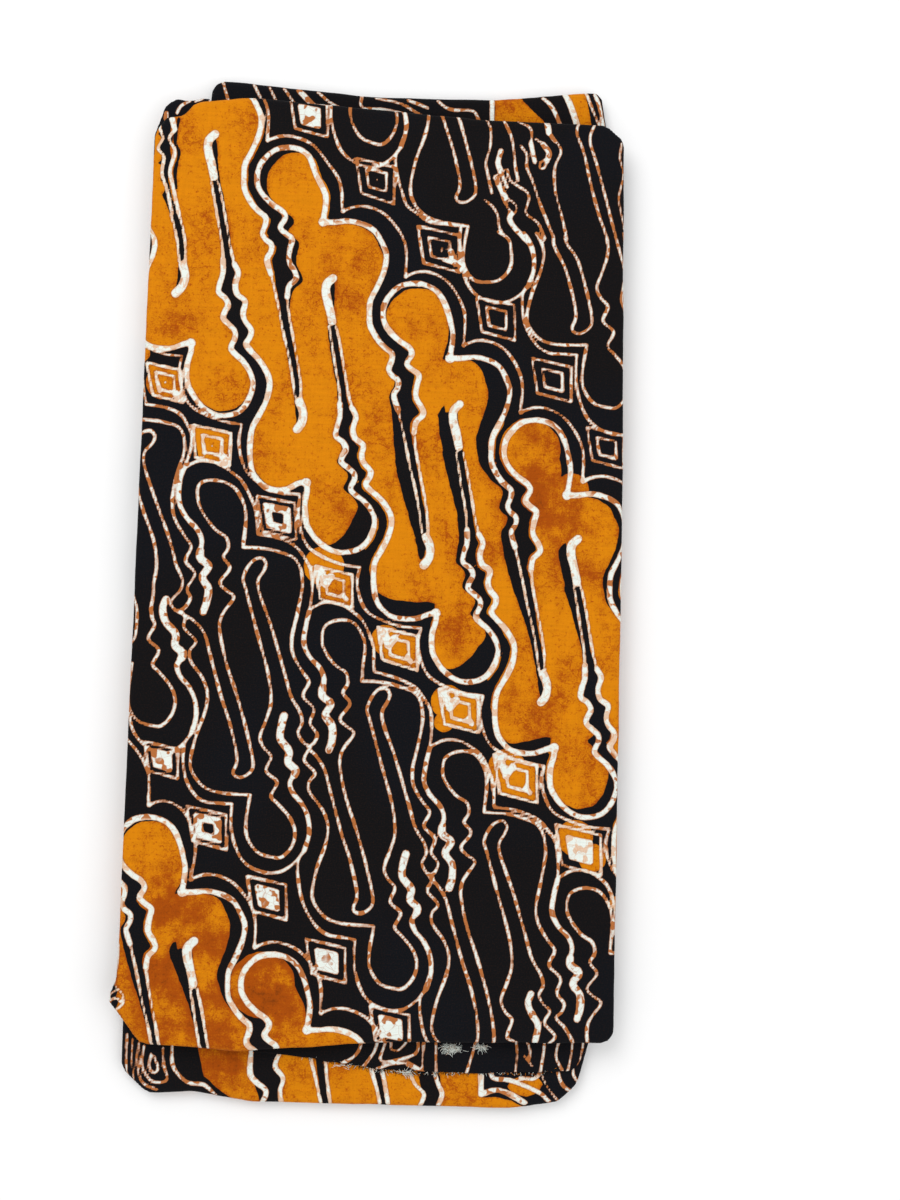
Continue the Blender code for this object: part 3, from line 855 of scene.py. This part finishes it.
def gridFaces(keep, used):
    # Quads of a grid whose four corners are all used, as rows of vertex numbers.
    number = np.full(used.shape, -1)
    number[used] = np.arange(used.sum())
    whole = used[:-1, :-1] & used[:-1, 1:] & used[1:, 1:] & used[1:, :-1]
    row, column = np.nonzero(keep[:-1, :-1] & whole)
    around = ((0, 0), (0, 1), (1, 1), (1, 0))
    return np.stack([number[row + up, column + across] for up, across in around], 1)


def meshFromArrays(name, points, faces, fields, flat):
    # The fields and the place on the flat cloth go with the mesh as attributes.
    mesh = bpy.data.meshes.new(name)
    mesh.vertices.add(len(points))
    mesh.vertices.foreach_set("co", points.astype(np.float32).ravel())
    mesh.loops.add(faces.size)
    mesh.loops.foreach_set("vertex_index", faces.astype(np.int32).ravel())
    mesh.polygons.add(len(faces))
    mesh.polygons.foreach_set("loop_start", np.arange(0, faces.size, faces.shape[1], dtype=np.int32))
    mesh.polygons.foreach_set("use_smooth", np.ones(len(faces), bool))
    mesh.update(calc_edges=True)
    for label, values in fields.items():
        mesh.attributes.new(label, "FLOAT", "POINT").data.foreach_set("value", values.astype(np.float32))
    places = mesh.attributes.new("flat", "FLOAT_VECTOR", "POINT")
    places.data.foreach_set("vector", flat.astype(np.float32).ravel())
    piece = bpy.data.objects.new(name, mesh)
    bpy.context.scene.collection.objects.link(piece)
    return piece


# The folded leaves, in millimetres: height of the top, thickness of the folded group, how far the fold
# reaches out and how many degrees it turns, step of the grid, how deep inside the leaf goes on, how uneven
# its top is, how far its pattern is shifted, how strongly its edge ripples, and between which places along Y
# it has that pattern.
leaves = {
    "topPanel": {
        "top": 19.0, "group": 3.9, "reach": 3.2, "turn": 138, "step": 1.3, "depth": 400,
        "uneven": 0.35, "seed": 3, "shift": (0, 0), "ripple": 0.35, "ownEnds": None,
    },
    "secondFold": {
        "top": 15.2, "group": 3.3, "reach": 3.4, "turn": 168, "step": 1.4, "depth": 26,
        "uneven": 0.1, "seed": 5, "shift": (37, 61), "ripple": 0.5, "ownEnds": (-400, 238),
    },
    "thirdFold": {
        "top": 12.0, "group": 3.7, "reach": 3.4, "turn": 168, "step": 1.4, "depth": 26,
        "uneven": 0.1, "seed": 7, "shift": (12, -45), "ripple": 0.6, "ownEnds": None,
    },
    "lowerFold": {
        "top": 8.4, "group": 4.6, "reach": 3.2, "turn": 138, "step": 1.3, "depth": 60,
        "uneven": 0.12, "seed": 9, "shift": (25, -30), "ripple": 0.3, "ownEnds": (-238, 238),
    },
    # Seen from below: flat on the surface and turned up round its edges, so its group is below zero.
    "underPanel": {
        "top": 0.0, "group": -4.4, "reach": 3.2, "turn": 138, "step": 1.8, "depth": 400,
        "uneven": 0.0, "seed": 11, "shift": (-40, 20), "ripple": 0.3, "ownEnds": None,
    },
}
# The top lies uneven by slow waves of this length, and calm within this distance of a fold.
unevenness = {"length": 90 * mm, "calm": 25 * mm}
# Steps of the grid that a sheet runs on past its edge, so that its last row of quads is whole.
spareSteps = 1.6

# What each sheet was cut to, filled in as the sheets are made: width, length and flat area, in metres.
flatSizes = {}


def makeLeaf(name, pattern, ends=None):
    # A flat sheet on a grid. Past the core line its length runs on round the fold's edge and under it.
    leaf = leaves[name]
    step, reach = leaf["step"] * mm, leaf["reach"] * mm
    length, out, drop = foldProfile(reach, leaf["group"] * mm / 2, leaf["turn"])
    whole = length[-1]
    core = insetOutline(rippled(roundedOutline(outlines[name]), leaf["ripple"], leaf["seed"]), reach)
    x, y, grid = gridOver(core.min(0) - whole - 2 * step, core.max(0) + whole + 2 * step, step)
    inside = insideOutline(x.shape, grid, core)
    points = np.stack([x.ravel(), y.ravel()], 1)
    nearest = nearestOnOutline(points, core)
    away = points - nearest
    distance = np.linalg.norm(away, axis=1)
    normal = away / np.maximum(distance, 1e-9)[:, None]
    distance = np.where(inside.ravel(), -distance, distance)
    onFold = np.clip(distance, 0, whole)
    turned = nearest + normal * np.interp(onFold, length, out)[:, None]
    place = np.where((distance > 0)[:, None], turned, points)
    flat = np.where((distance > whole)[:, None], nearest + normal * whole, points)
    calm = np.clip(-distance / unevenness["calm"], 0, 1)
    dips = calm * (1 + waves(points[:, 0], points[:, 1], leaf["seed"], unevenness["length"])) / 2
    height = leaf["top"] * mm - np.interp(onFold, length, drop) - leaf["uneven"] * mm * dips
    used = (distance > -leaf["depth"] * mm) & (distance < whole + spareSteps * step)
    faces = gridFaces(touching((distance < whole).reshape(x.shape)), used.reshape(x.shape))
    shifted = dict(grid, x0=grid["x0"] - leaf["shift"][0] * mm, y0=grid["y0"] - leaf["shift"][1] * mm)
    fields = patternFields(pattern, x.shape, shifted)
    if ends:
        near, far = leaf["ownEnds"]
        atEnds = (y < near * mm) | (y > far * mm)
        own = patternFields(ends, x.shape, grid)
        fields = {label: np.where(atEnds, own[label], fields[label]) for label in fields}
    fields = {label: values.ravel()[used] for label, values in fields.items()}
    flat = np.column_stack([flat, np.zeros(len(flat))])[used]
    piece = meshFromArrays(name, np.column_stack([place, height])[used], faces, fields, flat)
    size = core.max(0) - core.min(0) + 2 * whole
    flatSizes[name] = (*size.tolist(), min(len(faces) * step ** 2, size.prod()))
    print(name, len(faces), "quads")
    return piece


def makeUnderPanel(pattern):
    # The same kind of sheet, with its outer face down.
    piece = makeLeaf("underPanel", pattern)
    piece.data.flip_normals()
    return piece


rawEnd = {
    "top": 9.5 * mm,
    "step": 1.2 * mm,
    "wall": 0.5 * mm,
    "ripple": 0.7,
    "rippleSize": 9 * mm,
    "rippleSeed": 31,
    "rise": 0.3 * mm,
    "riseSize": 40 * mm,
    "riseSeed": 21,
}


def makeRawEnd(pattern):
    # The cut end is a flat grid, a little uneven, whose points past the outline move back to it.
    step = rawEnd["step"]
    corners = roundedOutline(outlines["rawEnd"])
    outline = rippled(corners, rawEnd["ripple"], rawEnd["rippleSeed"], rawEnd["rippleSize"])
    x, y, grid = gridOver(outline.min(0) - 2 * step, outline.max(0) + 2 * step, step)
    inside = insideOutline(x.shape, grid, outline)
    points = np.stack([x.ravel(), y.ravel()], 1)
    nearest = nearestOnOutline(points, outline)
    place = np.where(inside.ravel()[:, None], points, nearest)
    distance = np.where(inside.ravel(), -1, 1) * np.linalg.norm(points - nearest, axis=1)
    rise = waves(place[:, 0], place[:, 1], rawEnd["riseSeed"], rawEnd["riseSize"])
    height = rawEnd["top"] + rawEnd["rise"] * rise
    used = distance < spareSteps * step
    faces = gridFaces(touching(inside), used.reshape(x.shape))
    fields = patternFields(pattern, x.shape, grid)
    fields = {label: values.ravel()[used] for label, values in fields.items()}
    flat = np.column_stack([place, np.zeros(len(place))])[used]
    piece = meshFromArrays("rawEnd", np.column_stack([place, height])[used], faces, fields, flat)
    wall = piece.modifiers.new("wall", "SOLIDIFY")
    wall.thickness = rawEnd["wall"]
    wall.offset = -1
    size = outline.max(0) - outline.min(0)
    flatSizes["rawEnd"] = (*size.tolist(), size.prod())
    return piece


# Frayed threads along the raw edge, in millimetres and radians. A tuft has a place, a spread and a count.
threads = {
    "edge": [
        (-34, -261.6), (-12, -265.4), (10, -269.4), (32, -271), (60, -269.8), (98, -270), (110, -265.6),
    ],
    "height": 9.3,
    "count": 620,
    "length": (1.2, 4.2),
    "shortest": 0.3,
    "out": (-0.2, 1.2),
    "lift": (-0.3, 0.5),
    "fan": 0.75,
    "curl": 1.1,
    "droop": 0.5,
    "radius": 0.13,
    "taper": 0.5,
    "whiteShare": 0.2,
    "amberShare": 0.42,
    "tufts": [
        (49.1, -257.0, 5.4, 190), (65.6, -255.6, 3.0, 80), (-9, -267.0, 3.5, 14), (25, -270.4, 3.0, 30),
    ],
    "tuftLength": (1.5, 4.5),
    "tuftLift": (0.2, 1.2),
    "tuftFan": 0.5,
    "rings": 5,
    "sides": 4,
    "seed": 17,
    # Wax and dye fields of a thread with the colour, and of one without it.
    "wax": (-2.5, 5.0),
    "dye": (3.0, -3.0),
}


def makeThreads():
    # Frayed ends: each a thin square tube along a curve that turns steadily, laid out along the raw edge.
    random = np.random.default_rng(threads["seed"])
    edge = np.array(threads["edge"], float)
    span = np.concatenate([[0], np.cumsum(np.linalg.norm(np.diff(edge, axis=0), axis=1))])
    along = random.uniform(0, span[-1], threads["count"])
    base = np.stack([np.interp(along, span, edge[:, axis]) for axis in (0, 1)], 1)
    base[:, 1] += random.uniform(*threads["out"], len(base))
    heading = -math.pi / 2 + random.normal(0, threads["fan"], len(base))
    length = random.uniform(*threads["length"], len(base))
    length *= random.uniform(threads["shortest"], 1, len(base))
    lift = random.uniform(*threads["lift"], len(base))
    shade = random.uniform(0, 1, len(base))
    for x, y, spread, count in threads["tufts"]:
        base = np.vstack([base, random.normal((x, y), (spread / 2, spread / 5), (count, 2))])
        sideways = random.choice([0, math.pi], count)
        heading = np.append(heading, sideways + random.normal(0, threads["tuftFan"], count))
        length = np.append(length, random.uniform(*threads["tuftLength"], count))
        lift = np.append(lift, random.uniform(*threads["tuftLift"], count))
        shade = np.append(shade, np.zeros(count))
    total, rings, sides = len(base), threads["rings"], threads["sides"]
    share = np.linspace(0, 1, rings)[None, :]
    turn = heading[:, None] + random.normal(0, threads["curl"], total)[:, None] * share
    stride = (length / (rings - 1))[:, None]
    steps = np.stack([np.cos(turn), np.sin(turn)], 2) * stride[:, :, None]
    path = base[:, None, :] + np.cumsum(steps, 1) - steps[:, :1]
    level = threads["height"] + lift[:, None] * np.sin(share * math.pi)
    level -= threads["droop"] * share * (shade > 0)[:, None]
    around = np.arange(sides) * math.tau / sides
    side = np.stack([-np.sin(turn), np.cos(turn)], 2)[:, :, None, :]
    radius = threads["radius"] * (1 - threads["taper"] * share)[:, :, None, None]
    flatPart = path[:, :, None, :] + side * np.cos(around)[None, None, :, None] * radius
    upright = level[:, :, None] + np.sin(around)[None, None, :] * radius[..., 0]
    points = np.concatenate([flatPart, upright[..., None]], 3).reshape(-1, 3) * mm
    number = np.arange(total * rings * sides).reshape(total, rings, sides)
    ahead = np.roll(number, -1, axis=2)
    walls = np.stack([number[:, :-1], ahead[:, :-1], ahead[:, 1:], number[:, 1:]], 3).reshape(-1, 4)
    faces = np.vstack([walls, number[:, 0, ::-1], number[:, -1]])
    shade = np.repeat(shade, rings * sides)
    fields = {
        "wax": np.where(shade < threads["whiteShare"], *threads["wax"]),
        "dye": np.where(shade < threads["amberShare"], *threads["dye"]),
        "rust": np.zeros(len(points)),
    }
    piece = meshFromArrays("frayedThreads", points, faces, fields, points)
    print("frayedThreads", total, "threads")
    return piece


def link(material, fromSocket, toSocket):
    material.node_tree.links.new(fromSocket, toSocket)


def setSocket(material, socket, value):
    if isinstance(value, bpy.types.NodeSocket):
        link(material, value, socket)
    else:
        socket.default_value = value


def addNode(material, kind, **inputs):
    node = material.node_tree.nodes.new(kind)
    for name, value in inputs.items():
        setSocket(material, node.inputs[name], value)
    return node


def mathNode(material, operation, first, second=0.0):
    node = material.node_tree.nodes.new("ShaderNodeMath")
    node.operation = operation
    for socket, value in zip(node.inputs, (first, second)):
        setSocket(material, socket, value)
    return node.outputs[0]


def ramp(material, value, low, high, start, end):
    # A smooth step from start to end as value goes from low to high.
    node = material.node_tree.nodes.new("ShaderNodeMapRange")
    node.interpolation_type = "SMOOTHSTEP"
    labels = ("Value", "From Min", "From Max", "To Min", "To Max")
    for label, setting in zip(labels, (value, low, high, start, end)):
        setSocket(material, node.inputs[label], setting)
    return node.outputs[0]


def mixColour(material, share, first, second, blend):
    node = material.node_tree.nodes.new("ShaderNodeMix")
    node.data_type = "RGBA"
    node.blend_type = blend
    # Of this node's sockets, 0 is the share and 6 and 7 are the two colours.
    for place, value in ((0, share), (6, first), (7, second)):
        setSocket(material, node.inputs[place], value)
    return node.outputs[2]


def colourOf(code):
    # A screen colour such as e8930c, as the linear values that a shader takes.
    parts = [int(code[place:place + 2], 16) / 255 for place in (0, 2, 4)]
    linear = [part / 12.92 if part <= 0.04045 else ((part + 0.055) / 1.055) ** 2.4 for part in parts]
    return (*linear, 1.0)


clothFinish = {
    "colours": {
        "black": "0d0d0f",
        "blueBlack": "0b0e13",
        "amber": "cb7a06",
        "rust": "9c4605",
        "deepRust": "6a3006",
        "cream": "d9dfd8",
        "amberStain": "cd8026",
        "stain": "a65a10",
        "crack": "7a4213",
    },
    # Each noise has a scale, a detail, a stretch and an offset.
    "noises": {
        "swell": (75, 1, (1, 1, 1), (5, 0, 0)),
        "rag": (480, 2, (1, 1, 1), (0, 0, 0)),
        "dyeRag": (160, 3, (1, 1, 1), (0, 0, 0)),
        "grain": (1250, 3, (1, 1, 1), (0, 0, 0)),
        "slub": (700, 1, (0.07, 1, 1), (0, 0, 0)),
        "warp": (800, 1, (1, 0.06, 1), (0, 2, 0)),
        "cloud": (34, 6, (1, 1, 1), (1, 7, 0)),
        "fleck": (210, 5, (1, 1, 1), (4, 2, 0)),
        "streak": (120, 4, (1, 0.3, 1), (8, 3, 0)),
        "patch": (62, 6, (1, 1, 1), (2, 9, 0)),
        "vein": (130, 4, (1, 1, 1), (6, 4, 0)),
        "speck": (560, 3, (1, 1, 1), (9, 5, 0)),
        "ground": (9, 2, (1, 1, 1), (0, 0, 0)),
        "length": (190, 1, (1, 1, 1), (3, 1, 0)),
        "crease": (22, 3, (1, 0.35, 1), (2, 6, 0)),
    },
    # How strongly a noise shifts the wax and dye fields, in millimetres, the rust and the weave's shade.
    "waxShifts": {"swell": 1.0, "rag": 0.55},
    "dyeShifts": {"dyeRag": 1.6},
    "rustShifts": {"cloud": 1.1, "fleck": 0.9, "streak": 0.7, "grain": 1.3},
    "weaveShifts": {"slub": 0.22, "warp": 0.14, "grain": 0.16},
    # Each smooth step runs from a first to a second value, and from a first to a second share.
    "steps": {
        "wax": (-0.2, 0.14, 1.0, 0.0),
        "dye": (-0.2, 0.2, 0.0, 1.0),
        "rustPatches": (0.34, 0.66, 0.2, 0.95),
        "dyeRim": (0.0, 2.2, 0.22, 0.0),
        "veins": (0.0, 0.035, 0.4, 0.0),
        "veinClouds": (0.45, 0.62, 0.0, 1.0),
        "specks": (0.54, 0.7, 0.0, 0.42),
        "rust": (-0.15, 0.75, 0.0, 1.0),
        "deepRust": (0.7, 1.7, 0.0, 0.8),
        "blueBlack": (0.42, 0.6, 0.0, 1.0),
        "blackGrain": (0.45, 0.75, 0.0, 0.02),
        "brownLengths": (0.52, 0.57, 0.0, 0.95),
        "brownEdges": (-0.7, 0.0, 0.0, 0.9),
        "brownOnBlack": (-2.5, -0.5, 1.0, 0.55),
        "brownOnLines": (-2.0, -1.1, 0.04, 1.0),
        "amberSide": (-2.5, -0.5, 0.0, 1.0),
        "cracks": (0.0, 0.035, 0.5, 0.0),
        "lineRim": (0.1, 0.7, 0.4, 0.0),
    },
    "crackScale": 230.0,
    "creaseHeight": 6.0,
    "bump": {"Strength": 0.4, "Distance": 0.4 * mm},
    "surface": {"Roughness": 0.9, "Specular IOR Level": 0.07, "Sheen Weight": 0.02, "Sheen Roughness": 0.5},
}


def clothMaterial(name):
    # Cream where the wax field is below zero, else amber where the dye field is above zero, else black.
    material = bpy.data.materials.new(name)
    material.use_nodes = True
    shader = material.node_tree.nodes["Principled BSDF"]
    colour = {key: colourOf(code) for key, code in clothFinish["colours"].items()}
    fields = {}
    for label in ("wax", "dye", "rust", "flat"):
        node = material.node_tree.nodes.new("ShaderNodeAttribute")
        node.attribute_name = label
        fields[label] = node.outputs["Vector"] if label == "flat" else node.outputs["Fac"]

    def makeNoise(scale, detail, stretch, offset):
        mapping = material.node_tree.nodes.new("ShaderNodeMapping")
        mapping.inputs["Scale"].default_value = stretch
        mapping.inputs["Location"].default_value = offset
        link(material, fields["flat"], mapping.inputs["Vector"])
        inputs = {"Vector": mapping.outputs[0], "Scale": scale, "Detail": detail}
        return addNode(material, "ShaderNodeTexNoise", **inputs).outputs["Fac"]

    noise = {key: makeNoise(*values) for key, values in clothFinish["noises"].items()}

    def joined(operation, first, *others):
        for other in others:
            first = mathNode(material, operation, first, other)
        return first

    def wander(key, amount):
        # A noise as a shift of up to half the amount either way.
        return joined("MULTIPLY", joined("SUBTRACT", noise[key], 0.5), amount)

    def wanders(shifts):
        return [wander(key, amount) for key, amount in clothFinish[shifts].items()]

    def smooth(key, value):
        return ramp(material, value, *clothFinish["steps"][key])

    def mix(share, first, second, blend="MIX"):
        return mixColour(material, share, first, second, blend)

    # The pen's line swells and thins slowly, and its edge is ragged, as the dye's is.
    wax = joined("ADD", fields["wax"], *wanders("waxShifts"))
    dye = joined("ADD", fields["dye"], *wanders("dyeShifts"))
    dyeMask = smooth("dye", dye)

    # The amber goes from bright to rust to deep rust with clouds, a rim along its edge, veins and specks.
    clouds = joined("MULTIPLY", fields["rust"], smooth("rustPatches", noise["patch"]))
    veins = smooth("veins", mathNode(material, "ABSOLUTE", wander("vein", 1.0)))
    veins = joined("MULTIPLY", veins, smooth("veinClouds", noise["cloud"]))
    marks = joined("MAXIMUM", veins, smooth("specks", noise["speck"]))
    rusty = joined("ADD", *wanders("rustShifts"), clouds, smooth("dyeRim", dye), marks)
    amber = mix(smooth("rust", rusty), colour["amber"], colour["rust"])
    amber = mix(smooth("deepRust", rusty), amber, colour["deepRust"])
    black = mix(smooth("blueBlack", noise["ground"]), colour["black"], colour["blueBlack"])
    black = mix(smooth("blackGrain", noise["grain"]), black, colour["stain"])

    # The dye has crept under the wax: brown lengths, brown edges and fine cracks across the lines.
    brown = joined("MAXIMUM", smooth("brownLengths", noise["length"]), smooth("brownEdges", wax))
    brown = joined("MULTIPLY", brown, smooth("brownOnBlack", dye), smooth("brownOnLines", wax))
    staining = mix(smooth("amberSide", dye), colour["stain"], colour["amberStain"])
    cream = mix(brown, colour["cream"], staining)
    inputs = {"Vector": fields["flat"], "Scale": clothFinish["crackScale"]}
    cells = addNode(material, "ShaderNodeTexVoronoi", **inputs)
    cells.feature = "DISTANCE_TO_EDGE"
    cream = mix(smooth("cracks", cells.outputs["Distance"]), cream, staining)

    # Black under amber under wax, a brown rim beside the lines on amber, then the weave over all of it.
    ground = mix(dyeMask, black, amber)
    ground = mix(joined("MULTIPLY", smooth("lineRim", wax), dyeMask), ground, colour["crack"])
    final = mix(smooth("wax", wax), ground, cream)
    final = mix(1.0, final, joined("ADD", *wanders("weaveShifts"), 1.0), "MULTIPLY")
    link(material, final, shader.inputs["Base Color"])

    creases = joined("MULTIPLY", noise["crease"], clothFinish["creaseHeight"])
    height = joined("ADD", noise["grain"], noise["slub"], noise["warp"], creases)
    bump = addNode(material, "ShaderNodeBump", Height=height, **clothFinish["bump"])
    link(material, bump.outputs[0], shader.inputs["Normal"])
    for key, value in clothFinish["surface"].items():
        shader.inputs[key].default_value = value
    return material


floorSettings = {"half": 3.0, "below": 0.2 * mm, "shade": 0.86, "roughness": 0.9}


def makeFloor():
    half = floorSettings["half"]
    mesh = bpy.data.meshes.new("floor")
    corners = [(-half, -half, 0), (half, -half, 0), (half, half, 0), (-half, half, 0)]
    mesh.from_pydata(corners, [], [(0, 1, 2, 3)])
    floor = bpy.data.objects.new("floor", mesh)
    floor.location.z = -floorSettings["below"]
    bpy.context.scene.collection.objects.link(floor)
    material = bpy.data.materials.new("paleFloor")
    material.use_nodes = True
    shader = material.node_tree.nodes["Principled BSDF"]
    shader.inputs["Base Color"].default_value = (*[floorSettings["shade"]] * 3, 1)
    shader.inputs["Roughness"].default_value = floorSettings["roughness"]
    mesh.materials.append(material)


lighting = {
    "skyStrength": 0.8,
    "lamps": [
        {"name": "keyLamp", "place": (-0.7, 0.9, 1.6), "size": 1.2, "power": 16},
        {"name": "fillLamp", "place": (1.0, -0.7, 1.5), "size": 1.5, "power": 8},
    ],
}


def makeLights():
    world = bpy.data.worlds.new("studio")
    world.use_nodes = True
    background = world.node_tree.nodes["Background"]
    background.inputs["Color"].default_value = (1, 1, 1, 1)
    background.inputs["Strength"].default_value = lighting["skyStrength"]
    bpy.context.scene.world = world
    for lamp in lighting["lamps"]:
        light = bpy.data.lights.new(lamp["name"], "AREA")
        light.size = lamp["size"]
        light.energy = lamp["power"]
        holder = bpy.data.objects.new(lamp["name"], light)
        holder.location = lamp["place"]
        holder.rotation_euler = (-Vector(lamp["place"])).to_track_quat("-Z", "Y").to_euler()
        bpy.context.scene.collection.objects.link(holder)


def makeCamera():
    place, right, up, forward = cameraAxes()
    camera = bpy.data.cameras.new("camera")
    camera.lens = cameraSettings["lens"]
    camera.sensor_width = cameraSettings["sensor"]
    camera.clip_start = 0.01
    holder = bpy.data.objects.new("camera", camera)
    turn = Matrix((right, up, -forward)).transposed().to_4x4()
    holder.matrix_world = Matrix.Translation(place) @ turn
    bpy.context.scene.collection.objects.link(holder)
    bpy.context.scene.camera = holder


makeCamera()
makeLights()
makeFloor()
bpy.context.scene.view_settings.view_transform = "Standard"
print("stage ready")

pattern = mainPattern()
print("pattern charted:", len(pattern["lines"]), "wax lines")

cloth = clothMaterial("batikCloth")
pieces = {name: makeLeaf(name, pattern) for name in ("topPanel", "thirdFold")}
pieces["secondFold"] = makeLeaf("secondFold", pattern, stripPattern(earStrip))
pieces["lowerFold"] = makeLeaf("lowerFold", pattern, stripPattern(endStrips))
pieces["underPanel"] = makeUnderPanel(pattern)
pieces["rawEnd"] = makeRawEnd(stripPattern(rawStrip))
pieces["frayedThreads"] = makeThreads()
for piece in pieces.values():
    piece.data.materials.append(cloth)
    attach(piece, "root")
print("leaves made")

# What each piece stands for, its finish, what it lies on and what goes with it.
places = {
    "topPanel": ("top_panel", "amber_cloth", ["secondFold"], []),
    "secondFold": ("hidden_layers", "black_cloth", ["thirdFold"], []),
    "thirdFold": ("hidden_layers", "black_cloth", ["lowerFold"], []),
    "lowerFold": ("lower_fold", "amber_cloth", ["underPanel"], []),
    "underPanel": ("under_panel", "black_cloth", [], []),
    "rawEnd": ("raw_end_flap", "black_cloth", ["lowerFold"], [pieces["frayedThreads"]]),
}
for name, (node, finish, below, along) in places.items():
    width, length, area = flatSizes[name]
    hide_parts(node)
    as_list(below)
    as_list(along)
    print(name, "cut", round(width, 3), "by", round(length, 3), "m,", round(area, 4), "square metres")
